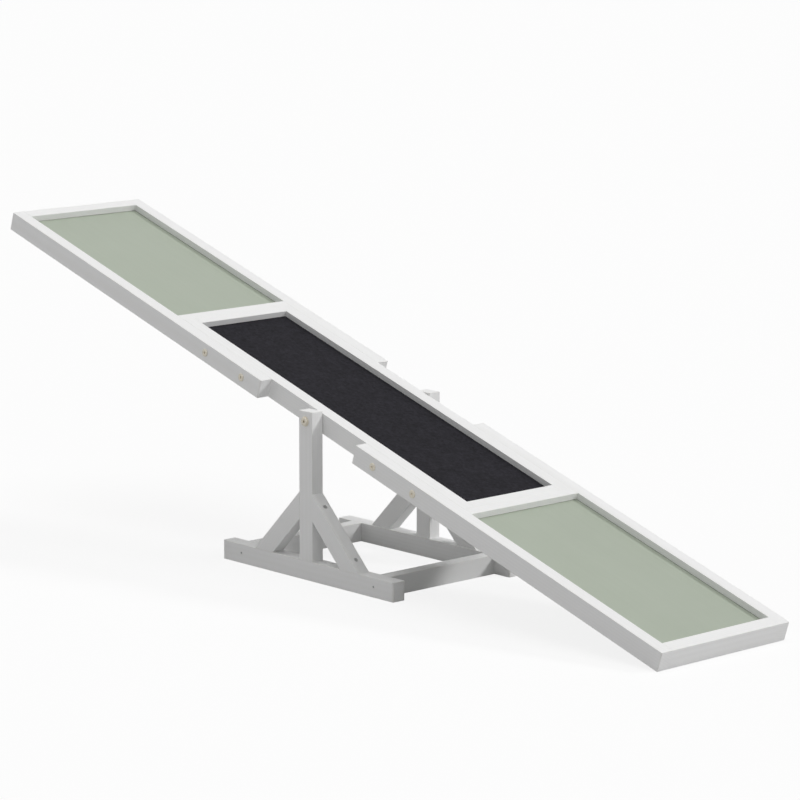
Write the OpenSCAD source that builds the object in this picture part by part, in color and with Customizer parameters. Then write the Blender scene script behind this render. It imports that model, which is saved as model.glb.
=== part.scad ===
// Dog agility seesaw: a plank of three framed boards on a low trestle.
// X runs along the plank, with the end that rests on the floor at +X.
// Y runs across it, Z is up, and the origin is on the floor under the pivot.

/* [Plank] */
// Length of the plank, end to end
beam_len = 1800; // [1500:10:2200]
// Width of the plank over its side rails
beam_w = 306; // [270:1:380]
// Depth of every rail, from its top face to its underside
rail_h = 35; // [32:1:45]
// Thickness of the side rails and end rails
rail_t = 25.5; // [23:0.5:32]
// Thickness of the cross rails and of the centre frame's end rails
cross_t = 20; // [18:1:26]
// Length of the opening that shows the black tread
tread_len = 740; // [640:2:860]
// Gap between the side rails of the two end frames, where the posts stand
notch_len = 265; // [220:1:290]

/* [Boards] */
// Thickness of the three plywood boards
board_t = 9; // [6:0.5:12]
// Drop from the rails' top faces to the boards' top faces
board_drop = 12; // [9:0.5:14]
// Depth of the grooves that house the boards' edges
groove_d = 6; // [4:0.5:8]
// Thickness of the anti-slip tread on the centre board
tread_t = 2; // [1:0.5:4]

/* [Stand] */
// Height of the pivot axis above the floor
pivot_z = 286; // [250:1:360]
// Height of the pivot axis above the rails' underside
pivot_up = 17.5; // [14:0.5:20]
// Thickness of the posts and braces, across the plank
stand_t = 25; // [22:1:28]
// Thickness of the feet, across the plank
foot_t = 28; // [25:1:34]
// Depth of the feet and the stretchers
foot_h = 35; // [30:1:45]
// Length of each foot
foot_len = 458; // [420:2:600]
// Width of each post, along the plank
post_w = 35; // [32:1:45]
// Rise of the posts above the pivot axis
post_rise = 18; // [16:0.5:24]
// Gap between each post and the plank
post_gap = 1; // [1:0.1:3]
// Width of each brace, square to its slope
brace_w = 35; // [32:1:42]
// Distance from the pivot to the toe of each brace, on top of the foot
brace_reach = 140; // [125:1:165]
// Slope of the braces
brace_angle = 45; // [42:1:47]
// Thickness of the stretchers, along the plank
stretcher_t = 26; // [22:1:32]
// Distance from a foot's end to its stretcher
stretcher_inset = 38; // [20:1:45]

/* [Edges] */
// Rounding of the timbers' outer edges
ease = 1; // [0.5:0.1:2]
// Rounding of the edges that border a joint or a board
joint_ease = 0.4; // [0.2:0.1:1]
// Rounding of the feet's upright corners
foot_corner = 3.5; // [1:0.5:6]
// Rounding of the side rails' upright corners
rail_corner = 2; // [1:0.5:5]

/* [Joint bolts] */
// Diameter of the bolts through the lapped side rails
bolt_d = 6; // [5:0.5:7]
// Diameter of their flat heads
bolt_head_d = 14; // [12:0.5:17]
// Thickness of their heads
bolt_head_h = 1.5; // [1.2:0.1:3]
// Width across flats of their hexagon sockets
bolt_key = 4; // [3:0.5:4]
// Distance from a side rail's inner end to the first bolt
bolt_first = 51.5; // [30:0.5:60]
// Distance from the cross rail to the second bolt
bolt_second = 100; // [60:1:110]
// Diameter of the barrel nuts
barrel_d = 10; // [9:0.5:11]
// Length of the barrel nuts
barrel_len = 14; // [12:0.5:15]
// Diameter of the dowels in the frames' corners
dowel_d = 8; // [6:0.5:8]
// Length of the dowels
dowel_len = 40; // [30:1:42]

/* [Pivot] */
// Diameter of the pivot bolts
pivot_d = 8; // [6:0.5:9]
// Diameter of their heads
pivot_head_d = 15; // [13:0.5:18]
// Thickness of their heads
pivot_head_h = 2.5; // [2:0.1:4]
// Width across flats of their hexagon sockets
pivot_key = 5; // [4:0.5:5]
// Diameter of the washers under their heads
washer_d = 18; // [17:0.5:24]
// Thickness of the washers
washer_t = 1.5; // [1:0.1:2]
// Diameter of the bushes in the posts
bush_d = 12; // [11:0.5:14]
// Diameter of the bushes' flanges, which space the plank off the posts
flange_d = 20; // [17:0.5:26]
// Diameter of the threaded inserts in the plank
insert_d = 12; // [11:0.5:14]
// Length of the threaded inserts
insert_len = 15; // [12:0.5:16]

/* [Screws] */
// Diameter of the wood screws
screw_d = 4; // [3.5:0.5:5]
// Diameter of their countersunk heads
screw_head_d = 8; // [7:0.5:9]
// Length of the screws that hold the stretchers
stretcher_screw_len = 60; // [50:1:80]
// Height of those screws above the floor
stretcher_screw_up = 19; // [15:0.5:20]
// Length of the screws that hold the braces
brace_screw_len = 38; // [32:1:39]
// Length of the screws that hold the posts, from beneath
post_screw_len = 70; // [60:1:90]
// Distance from a brace's sharp ends to its screws, along the slope
brace_screw_back = 29; // [27:0.5:31]
// Depth of the brace screws' heads below the sloping face
brace_screw_sink = 10; // [6:0.5:12]
// Spacing of the two screws under each post
post_screw_gap = 16; // [12:1:18]

/* [Fits] */
// Radial clearance of shafts that turn and of fasteners in their holes
fit = 0.05; // [0.02:0.01:0.08]
// Radial clearance of the bolts in their drilled timbers
drill_clear = 0.25; // [0.1:0.05:0.4]
// Clearance over a board and at its edges, and round the tread
board_clear = 0.5; // [0.2:0.1:0.8]
// End play left between each bush's flange and the plank, and under each pivot washer
end_play = 0.25; // [0.1:0.05:0.5]

/* [Hidden] */
$fn = 48;

// Finishes
white = [0.93, 0.93, 0.92];
sage = [0.69, 0.72, 0.66];
grit = [0.18, 0.18, 0.19];
zinc = [0.80, 0.77, 0.66];
steel = [0.35, 0.35, 0.36];
nylon = [0.85, 0.85, 0.83];
beech = [0.80, 0.66, 0.48];

// Places along and across the plank, measured from the pivot axis
end_u = beam_len / 2;
end_in_u = end_u - rail_t;
open_u = tread_len / 2;
lap_u = open_u + cross_t;
green_u = lap_u + cross_t;
notch_u = notch_len / 2;
side_out_v = beam_w / 2;
side_in_v = side_out_v - rail_t;
centre_in_v = side_in_v - rail_t;
barrel_v = side_in_v - rail_t / 2;
bolt_us = [notch_u + bolt_first, lap_u - bolt_second];

// Heights in the plank, measured from the pivot axis
under_w = -pivot_up;
top_w = rail_h - pivot_up;
mid_w = top_w - rail_h / 2;
board_top_w = top_w - board_drop;
board_under_w = board_top_w - board_t;
dowel_ws = [mid_w - rail_h / 4, mid_w + rail_h / 4];

// Slope at which the rounded lower edge of the plank's end just rests on the floor
rest_u = end_u - ease;
rest_w = pivot_up - ease;
tilt = asin((pivot_z - ease) / norm([rest_u, rest_w])) - atan(rest_w / rest_u);

// Places in the stand
post_in_y = side_in_v + post_gap;
post_out_y = post_in_y + stand_t;
stand_y = (post_in_y + post_out_y) / 2;
post_x = post_w / 2;
post_top_z = pivot_z + post_rise;
foot_x = foot_len / 2;
foot_in_y = post_out_y - foot_t;
stretcher_out_x = foot_x - stretcher_inset;
stretcher_x = stretcher_out_x - stretcher_t / 2;
brace_top_z = foot_h + (brace_reach - post_x) * tan(brace_angle);
brace_len = (brace_reach - post_x) / cos(brace_angle);
brace_spare = 2 * brace_w;

// Fastener details
flange_t = post_gap - end_play;
bolt_tip_cover = 1;
bolt_len = 2 * rail_t - groove_d - bolt_tip_cover;
pivot_bolt_len = post_out_y + end_play + washer_t - side_in_v + insert_len - bolt_tip_cover;
head_chamfer = 0.6;
key_depth = 3;
pivot_key_depth = 4;
screw_head_h = (screw_head_d - screw_d) / 2;
screw_tip = 5;
screw_recess_span = 0.6 * screw_head_d;
screw_recess_w = 1.2;
screw_recess_d = 1.4;
post_screw_sink = 1;
insert_floor = 0.5;

// Keeps cutting shapes clear of the faces that they cut through
over = 1;

// Waste outside a rounded corner, with the corner at the origin and the timber towards +x +y
module corner_waste(r) {
    difference() {
        translate([-over, -over]) square(r + over);
        translate([r, r]) circle(r);
    }
}

// Rectangle from the origin; radii run from the low left corner anticlockwise
module eased_rect(size, radii) {
    corners = [[0, 0], [size[0], 0], size, [0, size[1]]];
    difference() {
        square(size);
        for (i = [0:3]) if (radii[i] > 0) translate(corners[i]) rotate(90 * i) corner_waste(radii[i]);
    }
}

// Timber with its low corner at the origin. The radii round its section across X,
// its plan and its side elevation, each in the order of eased_rect
square_cut = [0, 0, 0, 0];
module timber(size, section = square_cut, plan = square_cut, side = square_cut) {
    intersection() {
        rotate([90, 0, 90]) linear_extrude(size[0]) eased_rect([size[1], size[2]], section);
        linear_extrude(size[2]) eased_rect([size[0], size[1]], plan);
        translate([0, size[1], 0]) rotate([90, 0, 0]) linear_extrude(size[1])
            eased_rect([size[0], size[2]], side);
    }
}

// Places a shape that is drawn level round the pivot axis into the resting plank
module in_plank() {
    translate([0, 0, pivot_z]) rotate([0, tilt, 0]) children();
}

module near() {
    mirror([0, 1, 0]) children();
}

module left() {
    mirror([1, 0, 0]) children();
}

module both_sides() {
    children();
    near() children();
}

module all_corners() {
    both_sides() children();
    left() both_sides() children();
}

// Turns a shape that is drawn along Z, entering downwards, so that it enters from the far side
module from_far(x, y, z) {
    translate([x, y, z]) rotate([-90, 0, 0]) children();
}

// Countersunk wood screw, its head's top face at the origin, pointing down
module screw(len) {
    difference() {
        rotate_extrude() polygon([
            [0, 0], [screw_head_d / 2, 0], [screw_d / 2, -screw_head_h],
            [screw_d / 2, screw_tip - len], [0, -len]
        ]);
        for (a = [0, 90]) rotate(a) translate([0, 0, -screw_recess_d])
            linear_extrude(screw_recess_d + over) square([screw_recess_span, screw_recess_w], center = true);
    }
}

// Hole for that screw, with a counterbore above its head
module screw_hole(len, bore) {
    head_r = screw_head_d / 2 + fit;
    shank_r = screw_d / 2 + fit;
    rotate_extrude() polygon([
        [0, bore], [head_r, bore], [head_r, 0],
        [shank_r, -screw_head_h], [shank_r, -len - fit], [0, -len - fit]
    ]);
}

// Flat-headed connector bolt, the underside of its head at the origin, pointing down
module connector_bolt(d, len, head_d, head_h, key, key_h) {
    difference() {
        union() {
            rotate_extrude() polygon([
                [0, 0], [head_d / 2, 0], [head_d / 2, head_h - head_chamfer],
                [head_d / 2 - head_chamfer, head_h], [0, head_h]
            ]);
            translate([0, 0, -len]) cylinder(d = d, h = len + head_h / 2);
        }
        translate([0, 0, head_h - key_h]) cylinder(d = key / cos(30), h = key_h + over, $fn = 6);
    }
}

// Rod or hole of radius r along Y, from y0 to y1
module cross_rod(r, x, y0, y1, z) {
    translate([x, y1, z]) rotate([90, 0, 0]) cylinder(r = r, h = y1 - y0);
}

// Foot of one trestle, on the floor
module foot() {
    color(white) difference() {
        translate([-foot_x, foot_in_y, 0]) timber(
            [foot_len, foot_t, foot_h],
            [ease, ease, ease, ease],
            [foot_corner, foot_corner, foot_corner, foot_corner],
            [ease, ease, ease, ease]
        );
        stretcher_screw_places() screw_hole(stretcher_screw_len, over);
        brace_screw_places() screw_hole(brace_screw_len, brace_screw_sink + over);
        post_screw_places() screw_hole(post_screw_len, post_screw_sink + over);
    }
}

// Post of one trestle, standing on its foot
module post() {
    color(white) difference() {
        translate([-post_x, post_in_y, foot_h]) timber(
            [post_w, stand_t, post_top_z - foot_h],
            [0, 0, ease, ease],
            [ease, ease, ease, ease],
            [0, 0, ease, ease]
        );
        cross_rod(bush_d / 2 + fit, 0, post_in_y - over, post_out_y + over, pivot_z);
        brace_screw_places() screw_hole(brace_screw_len, brace_screw_sink + over);
        post_screw_places() screw_hole(post_screw_len, over);
    }
}

// Right brace of one trestle: a sloping timber, sawn to the post and to the foot
module brace() {
    color(white) difference() {
        intersection() {
            translate([brace_reach, post_in_y, foot_h]) rotate([0, brace_angle - 90, 0])
                translate([-brace_w, 0, -brace_spare]) timber(
                    [brace_w, stand_t, brace_len + 2 * brace_spare],
                    square_cut,
                    [joint_ease, ease, ease, joint_ease]
                );
            translate([post_x, post_in_y, foot_h]) cube([brace_reach, stand_t, brace_top_z]);
        }
        brace_screw_places() screw_hole(brace_screw_len, brace_screw_sink + over);
    }
}

// Stretcher between the two feet
module stretcher() {
    color(white) difference() {
        translate([stretcher_out_x - stretcher_t, -foot_in_y, 0]) timber(
            [stretcher_t, 2 * foot_in_y, foot_h],
            square_cut,
            square_cut,
            [ease, ease, ease, ease]
        );
        both_sides() stretcher_screw_places() screw_hole(stretcher_screw_len, over);
    }
}

// The screws' places in the far trestle, from which the near ones are mirrored
module stretcher_screw_places() {
    for (x = [-stretcher_x, stretcher_x]) from_far(x, post_out_y, stretcher_screw_up) children();
}

// The screws of both braces, square to the sloping faces, into the post and into the foot
module brace_screw_places() {
    for (m = [0, 1], s = [brace_screw_back, brace_len - brace_screw_back]) mirror([m, 0, 0])
        translate([post_x + s * cos(brace_angle), stand_y, brace_top_z - s * sin(brace_angle)])
            rotate([0, brace_angle, 0]) translate([0, 0, -brace_screw_sink]) children();
}

module post_screw_places() {
    for (x = [-post_screw_gap / 2, post_screw_gap / 2])
        translate([x, stand_y, post_screw_sink]) rotate([180, 0, 0]) children();
}

module stretcher_screws() {
    color(steel) both_sides() stretcher_screw_places() screw(stretcher_screw_len);
}

module brace_screws() {
    color(steel) both_sides() brace_screw_places() screw(brace_screw_len);
}

module post_screws() {
    color(steel) both_sides() post_screw_places() screw(post_screw_len);
}

// Flanged bush through each post, in which the pivot bolt turns
module pivot_bushes() {
    color(nylon) both_sides() translate([0, 0, pivot_z]) difference() {
        union() {
            cross_rod(bush_d / 2, 0, post_in_y, post_out_y, 0);
            cross_rod(flange_d / 2, 0, post_in_y - flange_t, post_in_y, 0);
        }
        cross_rod(pivot_d / 2 + fit, 0, side_in_v, post_out_y + over, 0);
    }
}

// Space of a board in its grooves, from u0 to u1 and as far as v to each side
module board_space(u0, u1, v) {
    translate([u0, -v, board_under_w]) cube([u1 - u0, 2 * v, board_t + board_clear]);
}

module end_board_space() {
    board_space(green_u - groove_d, end_in_u + groove_d, side_in_v + groove_d);
}

module centre_board_space() {
    board_space(-open_u - groove_d, open_u + groove_d, centre_in_v + groove_d);
}

// Board whose edges stop short of the bottoms of its grooves
module board(u0, u1, v) {
    translate([u0 + board_clear, board_clear - v, board_under_w])
        cube([u1 - u0 - 2 * board_clear, 2 * (v - board_clear), board_t]);
}

// Dowels at one corner of a frame, half in the side rail and half in the rail that butts on it
module corner_dowels(u, v, gap) {
    for (w = dowel_ws) cross_rod(dowel_d / 2 + gap, u, v - dowel_len / 2 - gap, v + dowel_len / 2 + gap, w);
}

module end_frame_dowels(gap) {
    corner_dowels(end_u - (rail_t - groove_d) / 2, side_in_v, gap);
    corner_dowels(lap_u + (cross_t - groove_d) / 2, side_in_v, gap);
}

module centre_frame_dowels(gap) {
    corner_dowels(lap_u - (cross_t - groove_d) / 2, centre_in_v, gap);
}

// Far side rail of the right end frame, lapped over the centre frame
module side_rail() {
    color(white) difference() {
        translate([notch_u, side_in_v, under_w]) timber(
            [end_u - notch_u, rail_t, rail_h],
            [joint_ease, ease, ease, joint_ease],
            [0, 0, rail_corner, rail_corner],
            [ease, ease, ease, ease]
        );
        end_board_space();
        for (u = bolt_us)
            cross_rod(bolt_d / 2 + drill_clear, u, side_in_v - over, side_out_v + over, mid_w);
        end_frame_dowels(fit);
    }
}

// Rail across the end of the right end frame
module end_rail() {
    color(white) difference() {
        translate([end_in_u, -side_in_v, under_w]) timber(
            [rail_t, 2 * side_in_v, rail_h],
            square_cut,
            square_cut,
            [joint_ease, ease, ease, joint_ease]
        );
        end_board_space();
        both_sides() end_frame_dowels(fit);
    }
}

// Rail across the inner end of the right end frame
module cross_rail() {
    color(white) difference() {
        translate([lap_u, -side_in_v, under_w]) timber(
            [cross_t, 2 * side_in_v, rail_h],
            square_cut,
            square_cut,
            [joint_ease, joint_ease, joint_ease, joint_ease]
        );
        end_board_space();
        both_sides() end_frame_dowels(fit);
    }
}

// Far side rail of the centre frame, which carries the pivot
module centre_rail() {
    color(white) difference() {
        translate([-lap_u, centre_in_v, under_w]) timber(
            [2 * lap_u, rail_t, rail_h],
            [joint_ease, joint_ease, joint_ease, joint_ease]
        );
        centre_board_space();
        for (m = [0, 1]) mirror([m, 0, 0]) {
            for (u = bolt_us) {
                cross_rod(bolt_d / 2 + drill_clear, u, side_out_v - bolt_len - fit, side_in_v + over, mid_w);
                translate([u, barrel_v, under_w - over])
                    cylinder(d = barrel_d + 2 * fit, h = mid_w - under_w + over + barrel_len / 2 + fit);
            }
            centre_frame_dowels(fit);
        }
        cross_rod(insert_d / 2 + fit, 0, side_in_v - insert_len - fit, side_in_v + over, 0);
    }
}

// Rail across the right end of the centre frame
module centre_end_rail() {
    color(white) difference() {
        translate([open_u, -centre_in_v, under_w]) timber(
            [cross_t, 2 * centre_in_v, rail_h],
            square_cut,
            square_cut,
            [joint_ease, joint_ease, joint_ease, joint_ease]
        );
        centre_board_space();
        both_sides() centre_frame_dowels(fit);
    }
}

module end_board() {
    color(sage) board(green_u - groove_d, end_in_u + groove_d, side_in_v + groove_d);
}

module centre_board() {
    color(white) in_plank() board(-open_u - groove_d, open_u + groove_d, centre_in_v + groove_d);
}

// Anti-slip sheet on the centre board
module tread() {
    half_u = open_u - board_clear;
    half_v = centre_in_v - board_clear;
    color(grit) in_plank() translate([-half_u, -half_v, board_top_w])
        cube([2 * half_u, 2 * half_v, tread_t]);
}

// Bolts through both side rails at each lap, with their heads on the outer rails
module joint_bolts() {
    color(zinc) in_plank() all_corners() for (u = bolt_us) from_far(u, side_out_v, mid_w)
        connector_bolt(bolt_d, bolt_len, bolt_head_d, bolt_head_h, bolt_key, key_depth);
}

// Barrel nuts let into the centre frame's rails from below
module barrel_nuts() {
    color(zinc) in_plank() all_corners() for (u = bolt_us) difference() {
        translate([u, barrel_v, mid_w - barrel_len / 2]) cylinder(d = barrel_d, h = barrel_len);
        cross_rod(bolt_d / 2 + fit, u, barrel_v - barrel_d, barrel_v + barrel_d, mid_w);
    }
}

module frame_dowels() {
    color(beech) in_plank() all_corners() {
        end_frame_dowels(0);
        centre_frame_dowels(0);
    }
}

module pivot_bolts() {
    color(zinc) in_plank() both_sides() from_far(0, post_out_y + end_play + washer_t, 0)
        connector_bolt(pivot_d, pivot_bolt_len, pivot_head_d, pivot_head_h, pivot_key, pivot_key_depth);
}

module pivot_washers() {
    color(zinc) in_plank() both_sides() difference() {
        cross_rod(washer_d / 2, 0, post_out_y + end_play, post_out_y + end_play + washer_t, 0);
        cross_rod(pivot_d / 2 + drill_clear, 0, post_out_y, post_out_y + washer_t + over, 0);
    }
}

// Threaded inserts in the centre frame's rails, into which the pivot bolts screw
module pivot_inserts() {
    color(zinc) in_plank() both_sides() difference() {
        cross_rod(insert_d / 2, 0, side_in_v - insert_len, side_in_v, 0);
        cross_rod(pivot_d / 2 + fit, 0, side_in_v - insert_len + insert_floor, side_in_v + over, 0);
    }
}

near() foot();  // near_foot
foot();  // far_foot
near() post();  // near_post
post();  // far_post
near() left() brace();  // near_left_brace
near() brace();  // near_right_brace
left() brace();  // far_left_brace
brace();  // far_right_brace
left() stretcher();  // left_stretcher
stretcher();  // right_stretcher
stretcher_screws();
brace_screws();
post_screws();
pivot_bushes();
in_plank() near() left() side_rail();  // near_left_side_rail
in_plank() near() side_rail();  // near_right_side_rail
in_plank() left() side_rail();  // far_left_side_rail
in_plank() side_rail();  // far_right_side_rail
in_plank() left() end_rail();  // left_end_rail
in_plank() end_rail();  // right_end_rail
in_plank() left() cross_rail();  // left_cross_rail
in_plank() cross_rail();  // right_cross_rail
in_plank() near() centre_rail();  // near_centre_rail
in_plank() centre_rail();  // far_centre_rail
in_plank() left() centre_end_rail();  // centre_left_end_rail
in_plank() centre_end_rail();  // centre_right_end_rail
in_plank() left() end_board();  // left_board
in_plank() end_board();  // right_board
centre_board();
tread();
joint_bolts();
barrel_nuts();
frame_dowels();
pivot_bolts();
pivot_washers();
pivot_inserts();
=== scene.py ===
"""Dog agility seesaw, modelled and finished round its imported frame.

The plank is three framed boards: sage green at both ends, black anti-slip in the middle. It tips on a low
braced trestle. Lengths are in metres. X runs along the plank with the resting end at +X, Y runs across it
from the near side to the far side, and Z is up. The plank's pieces are modelled level round the pivot axis,
where u, v and w stand for X, Y and Z, and are then tipped into place.
"""
import logging
import math
import random
from contextlib import contextmanager
from dataclasses import dataclass
from enum import Enum
from typing import Callable, Iterator, Sequence

import bpy
from mathutils import Matrix, Vector


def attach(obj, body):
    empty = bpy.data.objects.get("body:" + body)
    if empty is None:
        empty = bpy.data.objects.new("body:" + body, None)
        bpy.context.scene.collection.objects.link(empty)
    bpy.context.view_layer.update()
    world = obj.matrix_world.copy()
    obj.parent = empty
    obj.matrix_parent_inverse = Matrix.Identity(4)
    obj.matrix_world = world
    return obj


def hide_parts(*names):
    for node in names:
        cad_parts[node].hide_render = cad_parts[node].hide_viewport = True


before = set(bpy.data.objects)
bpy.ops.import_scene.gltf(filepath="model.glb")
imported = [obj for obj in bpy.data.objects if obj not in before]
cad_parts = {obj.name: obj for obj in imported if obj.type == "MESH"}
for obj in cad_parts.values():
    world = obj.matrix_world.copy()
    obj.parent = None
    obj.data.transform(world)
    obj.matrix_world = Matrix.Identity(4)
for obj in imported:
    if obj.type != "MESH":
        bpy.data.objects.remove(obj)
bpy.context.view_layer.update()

LOG = logging.getLogger("seesaw")
Point = tuple[float, float, float]
Colour = tuple[float, float, float]
Pair = tuple[float, float]
Piece = bpy.types.Object
Socket = bpy.types.NodeSocket
EdgeRadius = Callable[[Vector, Vector], float]
FaceTest = Callable[[Vector, Vector], bool]
X, Y, Z = range(3)
HERE = Matrix.Identity(4)
WHITE = (1.0, 1.0, 1.0, 1.0)
ARRIS, PAINTED = "arris", "painted"
TINY = 1e-5
MERGED = 1e-6
SQUARE = 0.999
SHARP = math.radians(40)
OVERCUT = 0.005
CROWN = 0.62


class Way(Enum):
    """Base of the choices whose value is the sign of an axis."""

    @property
    def word(self) -> str:
        """Word for it in the pieces' names."""
        return self.name.lower()


class Side(Way):
    """Side of the seesaw, as the sign of its Y."""

    NEAR = -1
    FAR = 1


class End(Way):
    """End of the seesaw, as the sign of its X."""

    LEFT = -1
    RIGHT = 1


class Body(Enum):
    """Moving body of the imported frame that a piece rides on."""

    STAND = "stand"
    PLANK = "plank"


class Grain(Enum):
    """Direction of the grain in a level piece, as the turn that brings X along it."""

    ALONG = (0, "Z")
    ACROSS = (90, "Z")
    UPRIGHT = (-90, "Y")


def shifted(x: float, y: float, z: float) -> Matrix:
    """Gives a move."""
    return Matrix.Translation((x, y, z))


def rotated(degrees: float, axis: str) -> Matrix:
    """Gives a turn about an axis."""
    return Matrix.Rotation(math.radians(degrees), 4, axis)


def runs(direction: Vector, axis: int) -> bool:
    """Tells whether a direction runs along an axis."""
    return abs(direction[axis]) > 0.5


@dataclass(frozen=True)
class SeesawSizes:
    """Sizes that several sub-assemblies share.

    Those in u, v and w are distances from the pivot axis along the plank, across it and above it.
    """

    end_u: float = 0.900
    open_u: float = 0.370
    notch_u: float = 0.1325
    side_out_v: float = 0.153
    rail_half_depth: float = 0.0175
    rail_thickness: float = 0.0255
    cross_thickness: float = 0.020
    board_thickness: float = 0.009
    board_top_w: float = 0.0055
    board_clearance: float = 0.0005
    groove_depth: float = 0.006
    bolts_u: Pair = (0.184, 0.290)
    bolt_hole: float = 0.00325
    dowel_radius: float = 0.004
    dowel_length: float = 0.040
    end_dowel_inset: float = 0.00975
    cross_dowel_inset: float = 0.007
    barrel_length: float = 0.014
    insert_length: float = 0.015
    pivot_radius: float = 0.004
    pivot_height: float = 0.286
    stand_thickness: float = 0.025
    foot_thickness: float = 0.028
    post_gap: float = 0.001
    end_play: float = 0.00025
    fit: float = 0.00005
    eased: float = 0.001
    joint_eased: float = 0.0004

    @property
    def lap_u(self) -> float:
        """Distance to the ends of the centre frame."""
        return self.open_u + self.cross_thickness

    @property
    def green_u(self) -> float:
        """Distance to the near ends of the green boards."""
        return self.lap_u + self.cross_thickness

    @property
    def side_in_v(self) -> float:
        """Distance to the side rails' inner faces."""
        return self.side_out_v - self.rail_thickness

    @property
    def centre_in_v(self) -> float:
        """Distance to the centre rails' inner faces."""
        return self.side_in_v - self.rail_thickness

    @property
    def plank_place(self) -> Matrix:
        """Place of the resting plank, with the rounded lower edge of its end just on the floor.

        Returns:
            The place, with the pivot axis as the plank's Y.
        """
        rest_u, rest_w = self.end_u - self.eased, self.rail_half_depth - self.eased
        lean = math.asin((self.pivot_height - self.eased) / math.hypot(rest_u, rest_w))
        tilt = lean - math.atan(rest_w / rest_u)
        return shifted(0, 0, self.pivot_height) @ Matrix.Rotation(tilt, 4, "Y")

    @property
    def post_in_y(self) -> float:
        """Distance to the posts' inner faces."""
        return self.side_in_v + self.post_gap

    @property
    def post_out_y(self) -> float:
        """Distance to the posts' outer faces."""
        return self.post_in_y + self.stand_thickness

    @property
    def foot_in_y(self) -> float:
        """Distance to the feet's inner faces."""
        return self.post_out_y - self.foot_thickness

    @property
    def stand_y(self) -> float:
        """Distance to the middle of the posts."""
        return (self.post_in_y + self.post_out_y) / 2


# ---- finishes


class NodeBoard:
    """Node tree of a material or a world, built by short calls."""

    def __init__(self, owner: bpy.types.Material | bpy.types.World) -> None:
        """Takes the tree of a material or a world."""
        owner.use_nodes = True
        self.owner, self.tree = owner, owner.node_tree

    def lead(self, target: Socket, value: object) -> None:
        """Leads a socket to an input, or sets the input to a value."""
        if isinstance(value, Socket):
            self.tree.links.new(value, target)
        else:
            target.default_value = value

    def node(
        self, kind: str, inputs: dict[int | str, object] | None = None, **settings: object
    ) -> bpy.types.Node:
        """Adds a node.

        Args:
            kind: Type of the node.
            inputs: Values or sockets for its inputs, by name or number.
            settings: Options of the node.

        Returns:
            The node.
        """
        made = self.tree.nodes.new(kind)
        for key, value in settings.items():
            setattr(made, key, value)
        for key, value in (inputs or {}).items():
            self.lead(made.inputs[key], value)
        return made

    def math(self, operation: str, *values: Socket | float) -> Socket:
        """Adds a calculation."""
        return self.node("ShaderNodeMath", dict(enumerate(values)), operation=operation).outputs[0]

    def sums(self, *parts: tuple[Socket, float]) -> Socket:
        """Adds several values up.

        Args:
            parts: Each value with its weight.

        Returns:
            The weighted sum.
        """
        total: Socket | float = 0.0
        for value, weight in parts:
            total = self.math("MULTIPLY_ADD", value, weight, total)
        return total

    def spread(self, value: Socket, low: float, high: float, start: float = 0.0, end: float = 1.0) -> Socket:
        """Maps a value from start and end onto low and high, and no further."""
        return self.node("ShaderNodeMapRange", {0: value, 1: start, 2: end, 3: low, 4: high}).outputs[0]

    def tint(self, share: Socket, first: Colour | Socket, second: Colour | Socket) -> Socket:
        """Mixes two colours by the second one's share."""
        ends = [c if isinstance(c, Socket) else (*c, 1.0) for c in (first, second)]
        return self.node("ShaderNodeMix", {0: share, 6: ends[0], 7: ends[1]}, data_type="RGBA").outputs[2]

    def blend(self, share: Socket | float, first: Socket, second: Socket) -> Socket:
        """Mixes two shaders by the second one's share."""
        return self.node("ShaderNodeMixShader", {0: share, 1: first, 2: second}).outputs[0]


class Pattern(NodeBoard):
    """Material of one piece, drawn on the piece's own coordinates with X along its grain."""

    def __init__(self, name: str, shift: Point, turn: Matrix) -> None:
        """Makes the material and its coordinates.

        Args:
            name: Name of the material.
            shift: Place of the piece in the pattern.
            turn: Turn that brings X along the grain.
        """
        super().__init__(bpy.data.materials.new(name))
        self.shader = self.tree.nodes["Principled BSDF"]
        own = self.node("ShaderNodeTexCoord").outputs["Object"]
        inputs = {"Vector": own, "Location": shift, "Rotation": turn.to_euler()}
        self.at = self.node("ShaderNodeMapping", inputs, vector_type="TEXTURE").outputs["Vector"]

    def drawn_out(self, factor: float) -> Socket:
        """Gives the coordinates with X scaled, which draws marks out along the grain."""
        return self.node("ShaderNodeMapping", {"Vector": self.at, "Scale": (factor, 1.0, 1.0)}).outputs[0]

    def noise(
        self, size: float, detail: float = 2.0, roughness: float = 0.5, at: Socket | None = None
    ) -> Socket:
        """Adds a noise from 0 to 1 whose largest marks have a given size."""
        inputs = {"Vector": at or self.at, "Scale": 1 / size, "Detail": detail, "Roughness": roughness}
        return self.node("ShaderNodeTexNoise", inputs).outputs["Fac"]

    def rings(self, at: Socket, spacing: float, distortion: float) -> Socket:
        """Adds growth rings round X, from 0 to 1, that wander by a distortion."""
        inputs = {
            "Vector": at, "Scale": 2 * math.pi / (20 * spacing), "Distortion": distortion,
            "Detail": 2.0, "Detail Scale": 0.6,
        }
        return self.node("ShaderNodeTexWave", inputs, wave_type="RINGS", rings_direction="X").outputs["Fac"]

    def mark(self, name: str) -> Socket:
        """Reads a mark that the piece's mesh carries."""
        return self.node("ShaderNodeAttribute", attribute_name=name).outputs["Fac"]

    def coat(self, colour: Socket, roughness: Socket, **others: object) -> None:
        """Leads values or sockets to the shader, with _ for the spaces in the others' names."""
        for name, value in {"Base Color": colour, "Roughness": roughness, **others}.items():
            self.lead(self.shader.inputs[name.replace("_", " ")], value)

    def relief(self, height: Socket, depth: float, strength: float) -> None:
        """Leads a height to the shader's normal, through a bump of a given depth."""
        bump = self.node("ShaderNodeBump", {"Height": height, "Distance": depth, "Strength": strength})
        self.lead(self.shader.inputs["Normal"], bump.outputs["Normal"])


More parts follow.
